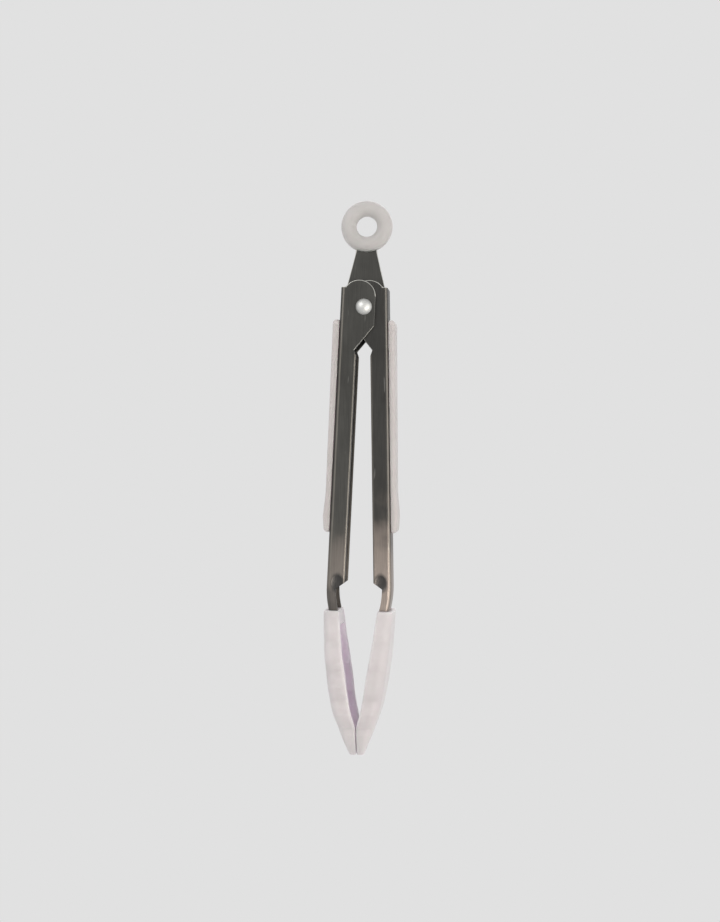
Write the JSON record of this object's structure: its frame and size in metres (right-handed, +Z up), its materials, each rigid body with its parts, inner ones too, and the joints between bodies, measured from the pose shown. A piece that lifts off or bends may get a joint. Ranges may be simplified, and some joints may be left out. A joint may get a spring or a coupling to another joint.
{
  "type": "locking kitchen tongs",
  "caption": "Spring loaded kitchen tongs: pressed channel arms on a riveted hinge, soft scalloped heads, side grips and a locking tab with a hanging ring.",
  "frame": {"origin": "centre of the hole in the hanging ring, where a hook holds the tongs", "axes": "+Z up from the heads to the ring, +X across the two arms with the left arm at -X, +Y away from the rivet's domed head"},
  "size_m": [0.0326, 0.0356, 0.2399],
  "materials": {
    "arm_steel": "lengthwise brushed, satin",
    "tab_steel": "lengthwise brushed, satin",
    "rivet_steel": "polished",
    "spring_wire": "drawn wire",
    "ring_silicone": "matt off-white",
    "grip_silicone": "matt off-white",
    "head_silicone": "matt off-white"
  },
  "bodies": {
    "hinge": {"hinge_rivet": "rivet_steel", "rivet_spacer": "rivet_steel", "torsion_spring": "spring_wire"},
    "left_half": {"left_arm": "arm_steel", "left_grip": "grip_silicone", "left_tip": "head_silicone"},
    "right_half": {"right_arm": "arm_steel", "right_grip": "grip_silicone", "right_tip": "head_silicone"},
    "tab": {"lock_tab": "tab_steel", "hang_ring": "ring_silicone"}
  },
  "joints": [
    {"name": "left_swing", "type": "hinge", "parent": "hinge", "child": "left_half", "pos_m": [0, 0, -0.0355], "axis": [0, 1, 0], "range_deg": [0, 16], "stiffness_Nm_per_rad": 1.2, "springref_deg": 25.78, "deforming": ["torsion_spring"]},
    {"name": "right_swing", "type": "hinge", "parent": "hinge", "child": "right_half", "pos_m": [0, 0, -0.0355], "axis": [0, 1, 0], "range_deg": [-16, 0]},
    {"name": "tab_slide", "type": "slide", "parent": "hinge", "child": "tab", "axis": [0, 0, -1], "range_m": [0, 0.0092]}
  ],
  "couplings": [
    {"joint": "right_swing", "follows": "left_swing", "ratio": -1},
    {"joint": "tab_slide", "follows": "left_swing", "m_per_rad": 0.032945}
  ]
}
